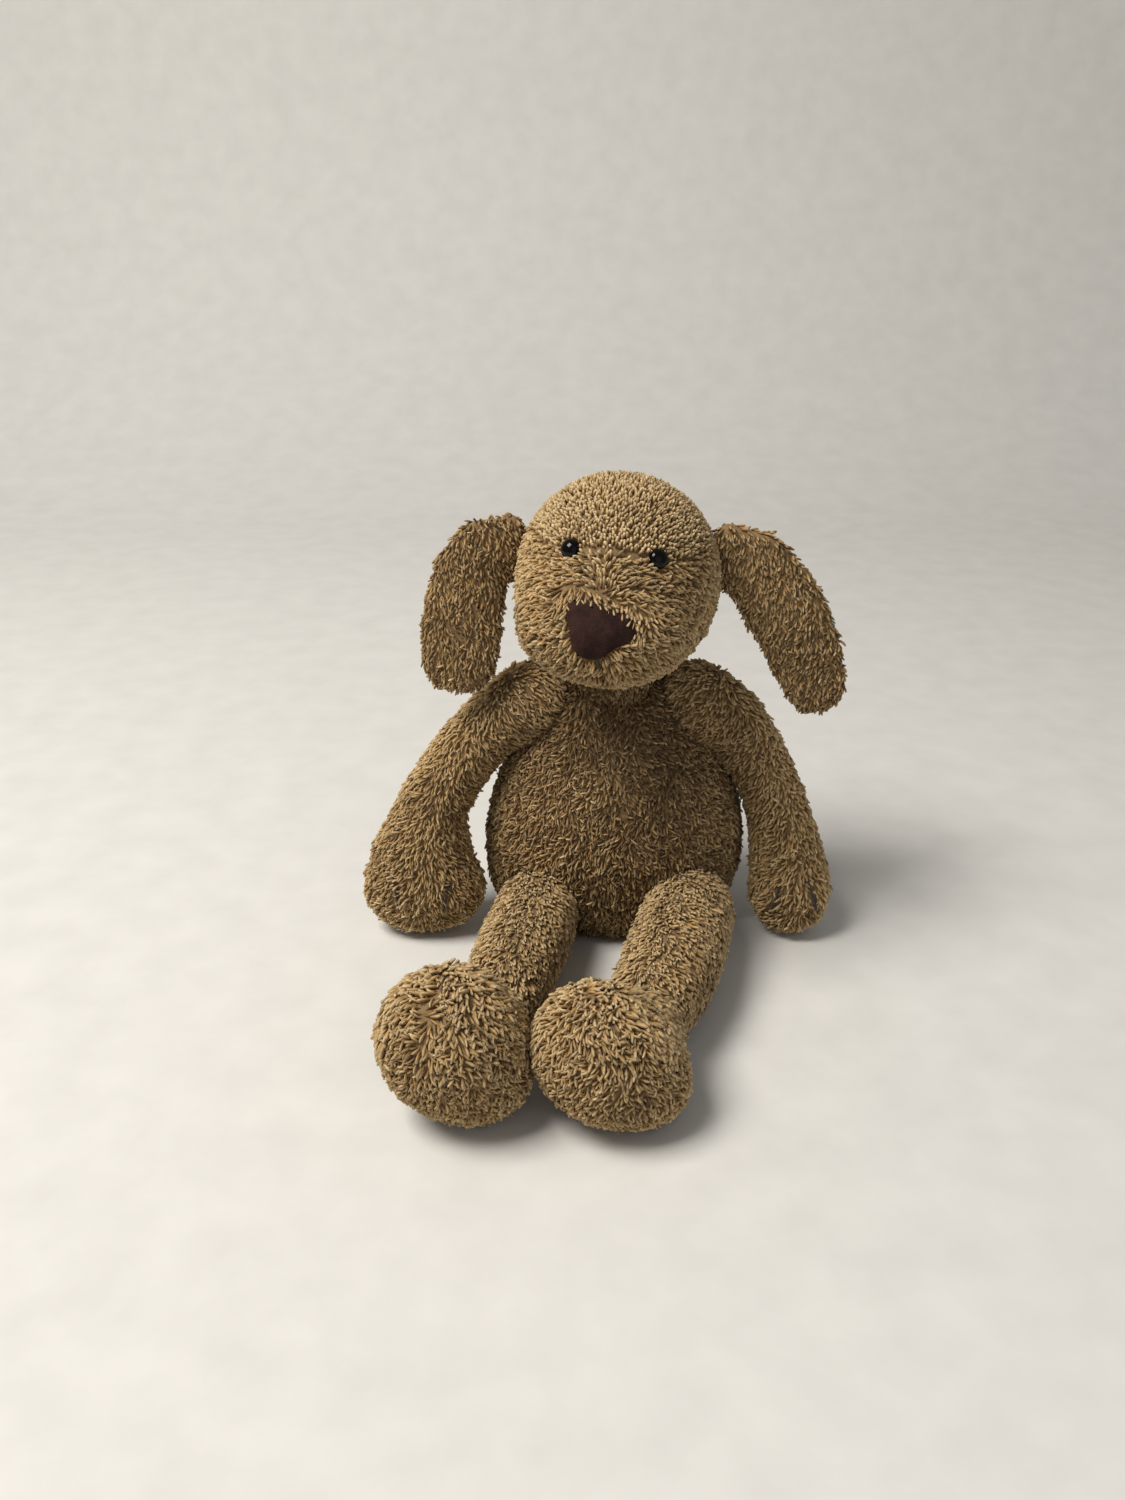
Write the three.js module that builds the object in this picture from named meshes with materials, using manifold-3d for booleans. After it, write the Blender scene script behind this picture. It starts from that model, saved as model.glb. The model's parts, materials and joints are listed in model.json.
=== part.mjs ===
// A seated plush dog: sewn plush panels over filling, with floppy ears, arms, legs, feet and a tail.
// Millimetres. +Z is up, the dog faces -Y, and +X is the dog's own left. The origin is the middle of the
// flat seat. Every limb is a soft tube with a ball-shaped root that turns in a socket of the part it is
// sewn to.

import * as THREE from 'three';
import { mergeVertices } from 'three/addons/utils/BufferGeometryUtils.js';
import Module from 'manifold-3d';

const wasm = await Module();
wasm.setup();

// ---------------------------------------------------------------- driving dimensions

const CLOTH = 3;             // plush fabric with its pressed pile
const GAP = 0.4;             // seams, and the filling's distance from the cloth
const SOCKET_GAP = 0.8;      // round a limb's root, so that it turns freely
const SHOULDER_ROOM = 9;     // the same at the shoulder, where the bent arm leaves a deep socket
const HIP_ROOM = 5.5;
const ANKLE_ROOM = 2;
const TAIL_ROOM = 2;
const EAR_ROOM = 6;
const FLOOR_GAP = 0.2;       // under the soft limbs that rest on the floor

const TORSO_HEIGHT = 133;
const TORSO_WIDTH = 125;
const TORSO_DEPTH = 94;
const TORSO_LEAN = 5;        // how far the belly stands forward of the seat
const GUSSET_HEIGHT = 9;     // the base panel's turned-up rim
const SIDE_SEAM_Y = -8;

const NECK_RADIUS = 20;
const NECK_Z = TORSO_HEIGHT - 4;

const HEAD_WIDTH = 94;
const HEAD_DEPTH = 104;
const HEAD_HEIGHT = 97;
const HEAD_CENTRE = new THREE.Vector3(0, -18, NECK_Z + 52);
const HEAD_TURN = THREE.MathUtils.degToRad(-8);
const HEAD_ROLL = THREE.MathUtils.degToRad(5);
const EAR_SEAM_Y = 14;       // the seam over the head from ear to ear, behind the skull's middle
const BROW_Z = 25;           // the brow seam's height above the skull's middle

const MUZZLE_WIDTH = 79;
const MUZZLE_DEPTH = 54;
const MUZZLE_HEIGHT = 52;
const MUZZLE_FORWARD = 36;
const MUZZLE_DROP = 11;

const NOSE_WIDTH = 27;
const NOSE_HEIGHT = 21;
const NOSE_RISE = 9;         // the patch's middle above the muzzle's
const SUEDE = 1.4;
const MOUTH_LENGTH = 9;
const THREAD_RADIUS = 0.8;

const EYE_RADIUS = 4.4;
const EYE_DOME = 3.6;
const EYE_SPACING = 38;
const EYE_RISE = 24;         // above the skull's middle
const STEM_RADIUS = 1.6;
const STEM_LENGTH = 10;
const STEM_GAP = 0.3;
const WASHER_RADIUS = 6;
const WASHER_THICKNESS = 1.6;
const WASHER_GAP = 2.2;      // from the cloth's inner face, which curves away from the flat washer

const EAR_THICKNESS = 9;
const EAR_TIP = 11;          // the round tip's length

const SHOULDER_X = NECK_RADIUS + TORSO_WIDTH * 0.16;    // clear of the neck, and wider with the torso
const SHOULDER_Z = TORSO_HEIGHT - 14;
const SHOULDER_RADIUS = 19;
const PAW_RADIUS = 21;

const FEET_ROOM = 25;        // the part of the hips' distance that keeps the feet from meeting
const HIP_X = FEET_ROOM + TORSO_WIDTH * 0.096;
const HIP_Y = -44;
const LEG_RADIUS = 21;
const ANKLE_RADIUS = 15;
const FOOT_DEPTH = 52;
const FOOT_END = 24.5;       // how far a foot's round ends stand out past its middle line

const TAIL_Y = TORSO_DEPTH / 2 - 4;
const TAIL_RADIUS = 10;

const PELLETS_WIDTH = 62;
const PELLETS_DEPTH = 46;
const PELLETS_HEIGHT = 18;

const TOE_STITCHES = 2;      // on each paw

// Facets: round a limb, round the larger parts, and along a limb.
const LIMB_SIDES = 10;
const BODY_SIDES = 16;
const SOCKET_SIDES = 12;
const LIMB_STEPS = 5;
const CAP_STEPS = 2;

const X = new THREE.Vector3(1, 0, 0);
const Y = new THREE.Vector3(0, 1, 0);
const Z = new THREE.Vector3(0, 0, 1);

// ---------------------------------------------------------------- cutting and joining

function solid(geometry) {
  const bare = geometry.clone();
  bare.deleteAttribute('normal');
  bare.deleteAttribute('uv');
  const merged = mergeVertices(bare, 1e-3);
  return new wasm.Manifold(new wasm.Mesh({
    numProp: 3,
    vertProperties: merged.attributes.position.array,
    triVerts: new Uint32Array(merged.index.array),
  }));
}

function geometryOf(shape) {
  const mesh = shape.getMesh();
  const geometry = new THREE.BufferGeometry();
  geometry.setAttribute('position', new THREE.BufferAttribute(new Float32Array(mesh.vertProperties), 3));
  geometry.setIndex(new THREE.BufferAttribute(new Uint32Array(mesh.triVerts), 1));
  geometry.computeVertexNormals();
  return geometry;
}

// Whatever lies between two corners.
function block(low, high) {
  const size = new THREE.Vector3().subVectors(high, low);
  const middle = new THREE.Vector3().addVectors(low, high).multiplyScalar(0.5);
  return solid(new THREE.BoxGeometry(size.x, size.y, size.z).translate(middle.x, middle.y, middle.z));
}

// The half of space on one side of a seam, as far as FAR: axis 'x', 'y' or 'z', side +1 or -1.
const FAR = 400;
function halfSpace(axis, side, at) {
  const low = new THREE.Vector3(-FAR, -FAR, -FAR);
  const high = new THREE.Vector3(FAR, FAR, FAR);
  if (side > 0) low[axis] = at + GAP / 2;
  else high[axis] = at - GAP / 2;
  return block(low, high);
}

function ball(radii, centre, sides = BODY_SIDES) {
  const sphere = new THREE.SphereGeometry(1, sides, Math.round(sides * 0.6));
  sphere.rotateX(Math.PI / 2);
  return sphere.scale(radii.x, radii.y, radii.z).translate(centre.x, centre.y, centre.z);
}

function cylinder(radius, from, to, sides = 12) {
  const along = new THREE.Vector3().subVectors(to, from);
  const turn = new THREE.Quaternion().setFromUnitVectors(Y, along.clone().normalize());
  const middle = new THREE.Vector3().addVectors(from, to).multiplyScalar(0.5);
  return new THREE.CylinderGeometry(radius, radius, along.length(), sides)
    .applyQuaternion(turn)
    .translate(middle.x, middle.y, middle.z);
}

// ---------------------------------------------------------------- soft tubes

// Values given at even steps from root to tip, read smoothly at any share of the length.
function evenly(values) {
  const points = values.map((value, i) => new THREE.Vector3(i / (values.length - 1), value, 0));
  const curve = new THREE.CatmullRomCurve3(points, false, 'centripetal');
  return (share) => curve.getPoint(THREE.MathUtils.clamp(share, 0, 1)).y;
}

// A limb's shape: its route from the root, and its half-widths across and through at even steps.
// `through` is the direction its two panels face, and the caps are how far its round ends stand out.
function limbShape(route, across, deep, through, tipCap = deep.at(-1), rootCap = deep[0]) {
  const curve = new THREE.CatmullRomCurve3(route, false, 'centripetal');
  return { curve, across: evenly(across), deep: evenly(deep), through, tipCap, rootCap };
}

// Lays a geometry that stands along Y from 0 to 1 along a limb. What is past either end keeps on straight.
function lay(geometry, shape, scaleX, scaleZ, endScale) {
  const laid = geometry.clone();
  const place = laid.attributes.position;
  for (let i = 0; i < place.count; i += 1) {
    const axial = place.getY(i);
    const share = THREE.MathUtils.clamp(axial, 0, 1);
    const tangent = shape.curve.getTangentAt(share);
    const side = new THREE.Vector3().crossVectors(tangent, shape.through).normalize();
    const face = new THREE.Vector3().crossVectors(side, tangent).normalize();
    const point = shape.curve.getPointAt(share)
      .addScaledVector(side, place.getX(i) * scaleX(share))
      .addScaledVector(face, place.getZ(i) * scaleZ(share))
      .addScaledVector(tangent, (axial - share) * endScale(share));
    place.setXYZ(i, point.x, point.y, point.z);
  }
  return laid;
}

// The limb grown by `grow` (negative for what is inside the cloth).
function tube(shape, grow = 0, sides = LIMB_SIDES) {
  const capsule = new THREE.CapsuleGeometry(1, LIMB_STEPS, CAP_STEPS, sides, LIMB_STEPS);
  const place = capsule.attributes.position;
  for (let i = 0; i < place.count; i += 1) {
    const y = place.getY(i);
    const inside = THREE.MathUtils.clamp(y, -LIMB_STEPS / 2, LIMB_STEPS / 2);
    place.setY(i, (inside + LIMB_STEPS / 2) / LIMB_STEPS + (y - inside));
  }
  return lay(
    capsule,
    shape,
    (share) => shape.across(share) + grow,
    (share) => shape.deep(share) + grow,
    (share) => (share > 0.5 ? shape.tipCap : shape.rootCap) + grow,
  );
}

// All that lies behind a limb's middle surface, from `from` past it, a little wider than the limb.
function behind(shape, from) {
  const reach = 2.5 * shape.deep(0);
  const rear = new THREE.BoxGeometry(2, 3, reach, 1, 3 * LIMB_STEPS, 1).translate(0, 0.5, from + reach / 2);
  return solid(lay(rear, shape, (share) => shape.across(share) * 1.2, () => 1, () => 40));
}

// The round socket that a limb's root turns in, `room` wider than the root. `along` is the seam that a
// flat root follows.
function socket(limb, room, along = Z) {
  const { shape, pivot } = limb;
  const turn = new THREE.Quaternion().setFromUnitVectors(Z, along);
  const radii = new THREE.Vector3(shape.deep(0), shape.deep(0), shape.across(0)).addScalar(room);
  return solid(ball(radii, new THREE.Vector3(), SOCKET_SIDES).applyQuaternion(turn).translate(...pivot.toArray()));
}

// ---------------------------------------------------------------- materials

function cloth(color, roughness = 0.95) {
  return new THREE.MeshStandardMaterial({ color, roughness, metalness: 0 });
}

const plush = cloth(0x8f734f);
const darkPlush = cloth(0x62492f);
const filling = cloth(0xe9e6df);
const pelletCloth = cloth(0xcfc6b2);
const suede = cloth(0x34221b, 0.85);
const thread = cloth(0x231a14, 0.8);
const eyePlastic = new THREE.MeshStandardMaterial({ color: 0x0b0a0a, roughness: 0.08, metalness: 0 });
const washerPlastic = new THREE.MeshStandardMaterial({ color: 0xd8d8d4, roughness: 0.5, metalness: 0 });

function piece(group, name, shape, material) {
  const mesh = new THREE.Mesh(geometryOf(shape), material);
  mesh.name = name;
  group.add(mesh);
}

// ---------------------------------------------------------------- where the joints are

const dog = new THREE.Group();

function bodyAt(point) {
  const group = new THREE.Group();
  group.position.copy(point);
  dog.add(group);
  return group;
}

const neck = new THREE.Vector3(0, SIDE_SEAM_Y, NECK_Z);

// ---------------------------------------------------------------- arms

// Each route starts at the shoulder and ends where the paw rests on the floor.
const pawZ = PAW_RADIUS + FLOOR_GAP - SHOULDER_Z;
const arms = {
  right: {
    pivot: new THREE.Vector3(-SHOULDER_X, SIDE_SEAM_Y, SHOULDER_Z),
    shape: limbShape(
      [
        new THREE.Vector3(0, 0, 0),
        new THREE.Vector3(-20, -3, -13),
        new THREE.Vector3(-38, -7, -35),
        new THREE.Vector3(-50, -12, -57),
        new THREE.Vector3(-55, -17, -81),
        new THREE.Vector3(-54, -19, pawZ),
      ],
      [SHOULDER_RADIUS, 16, 16.5, 17.5, 23.5, 28],
      [SHOULDER_RADIUS, 15.5, 15.5, 16, 16.5, 17],
      Y,
      PAW_RADIUS,
    ),
  },
  left: {
    pivot: new THREE.Vector3(SHOULDER_X, SIDE_SEAM_Y, SHOULDER_Z),
    shape: limbShape(
      [
        new THREE.Vector3(0, 0, 0),
        new THREE.Vector3(20, -4, -14),
        new THREE.Vector3(37, -10, -43),
        new THREE.Vector3(46, -16, -75),
        new THREE.Vector3(49, -20, pawZ),
      ],
      [SHOULDER_RADIUS, 15.5, 14, 17, 20.5],
      [SHOULDER_RADIUS, 15, 15, 16, 17],
      Y,
      PAW_RADIUS,
    ),
  },
};

// ---------------------------------------------------------------- legs and feet

const legZ = LEG_RADIUS + FLOOR_GAP;
const legs = {
  right: {
    pivot: new THREE.Vector3(-HIP_X, HIP_Y, legZ),
    ankle: new THREE.Vector3(-19, -92, 3),
    bend: new THREE.Vector3(-9, -46, 1),
  },
  left: {
    pivot: new THREE.Vector3(HIP_X, HIP_Y, legZ),
    ankle: new THREE.Vector3(-29, -94, 3),
    bend: new THREE.Vector3(-12, -46, 1),
  },
};
for (const leg of Object.values(legs)) {
  leg.shape = limbShape(
    [new THREE.Vector3(), leg.bend, leg.ankle],
    [LEG_RADIUS - 1, LEG_RADIUS - 1, ANKLE_RADIUS],
    [LEG_RADIUS, LEG_RADIUS, ANKLE_RADIUS],
    Z,
  );
}

// The foot stands up from its heel and leans outwards. Its route is from the heel to the toes.
const feet = {
  right: { heel: new THREE.Vector3(-7.8, -29, 0.4), toes: new THREE.Vector3(-20.2, -26, 16.2), half: 26 },
  left: { heel: new THREE.Vector3(-5.8, -28, -1.4), toes: new THREE.Vector3(-22.2, -25, 13.4), half: 24 },
};
for (const [side, foot] of Object.entries(feet)) {
  foot.pivot = legs[side].pivot.clone().add(legs[side].ankle);
  const middle = new THREE.Vector3().addVectors(foot.heel, foot.toes).multiplyScalar(0.5);
  const across = [foot.half - 3, foot.half, foot.half - 3];
  const deep = [FOOT_DEPTH / 2 - 3, FOOT_DEPTH / 2, FOOT_DEPTH / 2 - 3];
  foot.shape = limbShape([foot.heel, middle, foot.toes], across, deep, Y, FOOT_END, FOOT_END);
}

// ---------------------------------------------------------------- ears

// The root is the seam on the head. The route goes a little outwards, then hangs.
const flatEar = [EAR_THICKNESS / 2, EAR_THICKNESS / 2];

function earPivot(side, forward, rise) {
  return HEAD_CENTRE.clone().add(new THREE.Vector3(side * (HEAD_WIDTH / 2 - 1), forward, rise));
}

const ears = {
  right: {
    pivot: earPivot(-1, 7, 14),
    seam: new THREE.Vector3(-0.24, 0, -0.97).normalize(),
    shape: limbShape(
      [
        new THREE.Vector3(0, 0, 0),
        new THREE.Vector3(-12, -3, 0),
        new THREE.Vector3(-21, -7, -12),
        new THREE.Vector3(-25, -11, -31),
        new THREE.Vector3(-27, -15, -50),
      ],
      [15, 16, 18, 18.5, 17],
      flatEar,
      Y,
      EAR_TIP,
    ),
  },
  left: {
    pivot: earPivot(1, 7, 10),
    seam: new THREE.Vector3(0.24, 0, -0.97).normalize(),
    shape: limbShape(
      [
        new THREE.Vector3(0, 0, 0),
        new THREE.Vector3(15, -2, -3),
        new THREE.Vector3(29, -4, -20),
        new THREE.Vector3(41, -6, -43),
        new THREE.Vector3(49, -9, -63),
      ],
      [16, 17, 18.5, 17.5, 14],
      flatEar,
      Y,
      EAR_TIP,
    ),
  },
};

// ---------------------------------------------------------------- tail

const tail = {
  pivot: new THREE.Vector3(0, TAIL_Y, TAIL_RADIUS + 8),
  shape: limbShape(
    [new THREE.Vector3(0, 0, 0), new THREE.Vector3(0, 13, 6), new THREE.Vector3(0, 22, 17)],
    [TAIL_RADIUS, 9, 7.5],
    [TAIL_RADIUS, 9, 7.5],
    X,
  ),
};

// ---------------------------------------------------------------- torso

// Half-widths of the torso, as shares of the widest, at shares of its height.
const TORSO_PROFILE = [
  [0, 0],
  [0.74, 0],
  [0.9, 0.05],
  [0.98, 0.17],
  [1, 0.33],
  [0.95, 0.48],
  [0.83, 0.64],
  [0.68, 0.78],
  [0.52, 0.9],
  [0.3, 0.98],
  [0, 1],
];

function torsoForm(inset) {
  const profile = TORSO_PROFILE.map(([share, height]) => {
    const radius = share ? (share * TORSO_WIDTH) / 2 - inset : 0;
    return new THREE.Vector2(radius, inset + height * (TORSO_HEIGHT - 2 * inset));
  });
  const form = new THREE.LatheGeometry(profile, BODY_SIDES).rotateX(Math.PI / 2);
  const place = form.attributes.position;
  const deepest = TORSO_DEPTH / 2 - inset;
  const widest = TORSO_WIDTH / 2 - inset;
  for (let i = 0; i < place.count; i += 1) {
    const lean = TORSO_LEAN * Math.sin((Math.PI * place.getZ(i)) / TORSO_HEIGHT);
    place.setY(i, (place.getY(i) * deepest) / widest - lean);
  }
  return solid(form);
}

function buildTorso() {
  const torso = bodyAt(new THREE.Vector3());
  const outer = torsoForm(0);
  const inner = torsoForm(CLOTH);
  let room = solid(ball(new THREE.Vector3(1, 1, 1).multiplyScalar(NECK_RADIUS + SOCKET_GAP), neck, SOCKET_SIDES));
  for (const arm of Object.values(arms)) room = room.add(socket(arm, SHOULDER_ROOM));
  for (const leg of Object.values(legs)) room = room.add(socket(leg, HIP_ROOM));
  room = room.add(socket(tail, TAIL_ROOM));

  const shell = outer.subtract(inner).subtract(room);
  const above = shell.intersect(halfSpace('z', 1, GUSSET_HEIGHT));
  const back = above.intersect(halfSpace('y', 1, SIDE_SEAM_Y));
  piece(torso, 'belly_panel', above.intersect(halfSpace('y', -1, SIDE_SEAM_Y)), plush);
  piece(torso, 'back_panel_left', back.intersect(halfSpace('x', 1, 0)), plush);
  piece(torso, 'back_panel_right', back.intersect(halfSpace('x', -1, 0)), plush);
  piece(torso, 'base_panel', shell.intersect(halfSpace('z', -1, GUSSET_HEIGHT)), darkPlush);

  const fillingBottom = CLOTH + GAP;
  const bag = (grow) => solid(ball(
    new THREE.Vector3(PELLETS_WIDTH / 2 + grow, PELLETS_DEPTH / 2 + grow, PELLETS_HEIGHT + grow),
    new THREE.Vector3(0, 0, fillingBottom),
    16,
  ));
  piece(torso, 'pellet_bag', bag(0).intersect(halfSpace('z', 1, fillingBottom - GAP / 2)), pelletCloth);
  piece(torso, 'body_stuffing', torsoForm(CLOTH + GAP).subtract(room).subtract(bag(GAP)), filling);
}

// ---------------------------------------------------------------- head

const headTurn = new THREE.Euler(0, HEAD_ROLL, HEAD_TURN, 'ZYX');
const muzzleCentre = new THREE.Vector3(0, -MUZZLE_FORWARD, -MUZZLE_DROP);

// The skull and the muzzle in one, drawn in by `inset`, about the skull's middle.
function headForm(inset) {
  const skull = new THREE.Vector3(HEAD_WIDTH, HEAD_DEPTH, HEAD_HEIGHT).multiplyScalar(0.5).subScalar(inset);
  return solid(ball(skull, new THREE.Vector3())).add(solid(muzzleForm(-inset)));
}

function muzzleForm(grow) {
  const half = new THREE.Vector3(MUZZLE_WIDTH, MUZZLE_DEPTH, MUZZLE_HEIGHT).multiplyScalar(0.5);
  return ball(half.addScalar(grow), muzzleCentre, SOCKET_SIDES);
}

// Where an eye sits on the skull, and the way it looks out.
function eyeSeat(side) {
  const half = new THREE.Vector3(HEAD_WIDTH, HEAD_DEPTH, HEAD_HEIGHT).multiplyScalar(0.5);
  const x = (side * EYE_SPACING) / 2;
  const rest = 1 - (x / half.x) ** 2 - (EYE_RISE / half.z) ** 2;
  const place = new THREE.Vector3(x, -half.y * Math.sqrt(rest), EYE_RISE);
  const out = new THREE.Vector3(x / half.x ** 2, place.y / half.y ** 2, EYE_RISE / half.z ** 2).normalize();
  return { place, out };
}

// A patch's outline: a rounded triangle, point down, in the plane that faces forward.
function noseOutline() {
  const w = NOSE_WIDTH / 2;
  const h = NOSE_HEIGHT / 2;
  const outline = new THREE.Shape();
  outline.moveTo(-w * 0.55, h * 0.95);
  outline.quadraticCurveTo(0, h * 0.75, w * 0.6, h * 0.8);
  outline.quadraticCurveTo(w * 1.1, h * 0.5, w * 0.85, -h * 0.1);
  outline.quadraticCurveTo(w * 0.3, -h * 1.0, 0, -h);
  outline.quadraticCurveTo(-w * 0.5, -h * 0.9, -w * 0.9, h * 0.1);
  outline.quadraticCurveTo(-w * 1.15, h * 0.7, -w * 0.55, h * 0.95);
  return outline;
}

function buildHead() {
  const head = bodyAt(HEAD_CENTRE);
  head.setRotationFromEuler(headTurn);
  head.updateMatrixWorld(true);
  const toHead = head.matrixWorld.clone().invert();
  const inHead = (shape) => solid(geometryOf(shape).applyMatrix4(toHead));

  const neckRadii = new THREE.Vector3(1, 1, 1).multiplyScalar(NECK_RADIUS + SOCKET_GAP);
  let room = inHead(solid(ball(neckRadii, neck, SOCKET_SIDES)));
  for (const ear of Object.values(ears)) room = room.add(inHead(socket(ear, EAR_ROOM, ear.seam)));
  const eyes = [['left', 1], ['right', -1]];
  let holes = null;
  let washerRoom = null;
  for (const [name, side] of eyes) {
    const { place, out } = eyeSeat(side);
    const at = (depth) => place.clone().addScaledVector(out, depth);
    const flatDome = ball(new THREE.Vector3(EYE_RADIUS, EYE_RADIUS, EYE_DOME), new THREE.Vector3(), 12);
    const toOut = new THREE.Quaternion().setFromUnitVectors(Z, out);
    const dome = solid(flatDome.applyQuaternion(toOut).translate(...at(GAP).toArray()));
    const front = solid(cylinder(EYE_RADIUS * 2, at(GAP), at(GAP + 20)));
    const stem = solid(cylinder(STEM_RADIUS, at(-STEM_LENGTH), at(GAP + 1)));
    piece(head, `eye_${name}`, dome.intersect(front).add(stem), eyePlastic);

    const washerOut = -CLOTH - WASHER_GAP;
    const washer = solid(cylinder(WASHER_RADIUS, at(washerOut - WASHER_THICKNESS), at(washerOut)));
    const hole = solid(cylinder(STEM_RADIUS + STEM_GAP, at(-STEM_LENGTH - GAP), at(5)));
    piece(head, `eye_washer_${name}`, washer.subtract(hole), washerPlastic);
    const pocket = solid(cylinder(WASHER_RADIUS + GAP, at(washerOut - WASHER_THICKNESS - GAP), at(5)));
    holes = holes ? holes.add(hole) : hole;
    washerRoom = washerRoom ? washerRoom.add(pocket) : pocket;
  }

  const shell = headForm(0).subtract(headForm(CLOTH)).subtract(room).subtract(holes);
  const front = shell.intersect(halfSpace('y', -1, EAR_SEAM_Y));
  const back = shell.intersect(halfSpace('y', 1, EAR_SEAM_Y));
  const face = front.intersect(halfSpace('z', -1, BROW_Z));
  piece(head, 'crown_panel', front.intersect(halfSpace('z', 1, BROW_Z)), plush);
  piece(head, 'face_panel_left', face.intersect(halfSpace('x', 1, 0)), plush);
  piece(head, 'face_panel_right', face.intersect(halfSpace('x', -1, 0)), plush);
  piece(head, 'head_back_panel_left', back.intersect(halfSpace('x', 1, 0)), plush);
  piece(head, 'head_back_panel_right', back.intersect(halfSpace('x', -1, 0)), plush);
  const packed = headForm(CLOTH + GAP).subtract(room).subtract(holes).subtract(washerRoom);
  piece(head, 'head_stuffing', packed, filling);

  const nose = new THREE.ExtrudeGeometry(noseOutline(), { depth: MUZZLE_DEPTH, bevelEnabled: false, curveSegments: 4 })
    .rotateX(Math.PI / 2)
    .translate(0, muzzleCentre.y, muzzleCentre.z + NOSE_RISE);
  const suedeSkin = solid(muzzleForm(GAP + SUEDE)).subtract(solid(muzzleForm(GAP)));
  piece(head, 'nose_patch', suedeSkin.intersect(solid(nose)), suede);

  // The mouth line starts just under the nose and follows the muzzle down.
  const half = new THREE.Vector3(MUZZLE_WIDTH, MUZZLE_DEPTH, MUZZLE_HEIGHT)
    .multiplyScalar(0.5)
    .addScalar(GAP + THREAD_RADIUS + 0.3);
  const top = NOSE_RISE - NOSE_HEIGHT / 2 - THREAD_RADIUS - 1.2;
  const mouthRoute = [0, 0.5, 1].map((share) => {
    const z = top - share * MOUTH_LENGTH;
    return new THREE.Vector3(0, -half.y * Math.sqrt(1 - (z / half.z) ** 2), z).add(muzzleCentre);
  });
  const radii = [THREAD_RADIUS, THREAD_RADIUS, THREAD_RADIUS];
  piece(head, 'mouth_stitch', solid(tube(limbShape(mouthRoute, radii, radii, X), 0, 8)), thread);
}

// ---------------------------------------------------------------- limbs

const panelNames = {
  arm: ['back_panel', 'front_panel'],
  leg: ['top_panel', 'under_panel'],
  foot: ['upper_panel', 'sole_panel'],
  ear: ['back_panel', 'front_panel'],
  tail: ['left_panel', 'right_panel'],
};

// A limb's two panels with the filling between them. `room` is what its neighbour needs.
function buildLimb(kind, side, limb, room, filled = true) {
  const group = bodyAt(limb.pivot);
  const name = side ? `${kind}_${side}` : kind;
  let skin = solid(tube(limb.shape));
  if (filled) skin = skin.subtract(solid(tube(limb.shape, -CLOTH)));
  if (room) skin = skin.subtract(room);
  const [rear, front] = panelNames[kind];
  piece(group, `${name}_${rear}`, skin.intersect(behind(limb.shape, GAP / 2)), plush);
  piece(group, `${name}_${front}`, skin.subtract(behind(limb.shape, -GAP / 2)), plush);
  if (filled) {
    let packed = solid(tube(limb.shape, -CLOTH - GAP));
    if (room) packed = packed.subtract(room);
    piece(group, `${name}_stuffing`, packed, filling);
  }
  return group;
}

// A point just off the front of a limb's tip. `axial` counts from the root and runs past 1 over the round
// end, and `across` is a share of the half-width.
function onFront(shape, axial, across, proud) {
  const share = Math.min(axial, 1);
  const past = axial - share;
  const tangent = shape.curve.getTangentAt(share);
  const side = new THREE.Vector3().crossVectors(tangent, shape.through).normalize();
  const face = new THREE.Vector3().crossVectors(side, tangent).normalize();
  const depth = Math.sqrt(1 - across ** 2 - past ** 2);
  return shape.curve.getPointAt(share)
    .addScaledVector(side, across * (shape.across(share) + proud))
    .addScaledVector(face, -depth * (shape.deep(share) + proud))
    .addScaledVector(tangent, past * (shape.tipCap + proud));
}

// Toe stitches: short threads down the paw's front to its round end.
function toeStitches(group, side, limb) {
  const radii = [THREAD_RADIUS, THREAD_RADIUS, THREAD_RADIUS];
  const proud = GAP + THREAD_RADIUS + 0.3;
  for (let i = 0; i < TOE_STITCHES; i += 1) {
    const across = TOE_STITCHES > 1 ? -0.42 + (0.84 * i) / (TOE_STITCHES - 1) : 0;
    const route = [0.86, 1, 1.25, 1.5].map((axial) => onFront(limb.shape, axial, across, proud));
    const stitch = limbShape(route, radii, radii, X);
    piece(group, `toe_stitch_${side}_${i + 1}`, solid(tube(stitch, 0, 6)), thread);
  }
}

// ---------------------------------------------------------------- the whole dog

buildTorso();
const neckBody = bodyAt(neck);
const neckBall = ball(new THREE.Vector3(1, 1, 1).multiplyScalar(NECK_RADIUS), new THREE.Vector3(), SOCKET_SIDES);
piece(neckBody, 'neck_stuffing', solid(neckBall), filling);
buildHead();

for (const side of ['right', 'left']) {
  buildLimb('ear', side, ears[side], null, false);
  const arm = buildLimb('arm', side, arms[side], null);
  toeStitches(arm, side, arms[side]);
  buildLimb('leg', side, legs[side], null);
  const ankleBall = new THREE.Vector3(1, 1, 1).multiplyScalar(ANKLE_RADIUS + ANKLE_ROOM);
  buildLimb('foot', side, feet[side], solid(ball(ankleBall, new THREE.Vector3(), SOCKET_SIDES)));
}
buildLimb('tail', '', tail, null);

export default dog;
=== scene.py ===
"""A seated plush dog: sewn curly plush over soft filling, safety eyes and a suede nose.

Metres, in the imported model's frame: +Z up, the dog faces -Y, +X is the dog's own left.
Each body has a padded skin, which is the cloth backing, and pieces of pile, which are the locks of
fibre that stand on it. The locks of one panel are one piece.
"""

import json
import math

import bmesh
import bpy
import numpy as np
from mathutils import Matrix, Vector, noise
from mathutils.bvhtree import BVHTree
from mathutils.kdtree import KDTree


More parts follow.
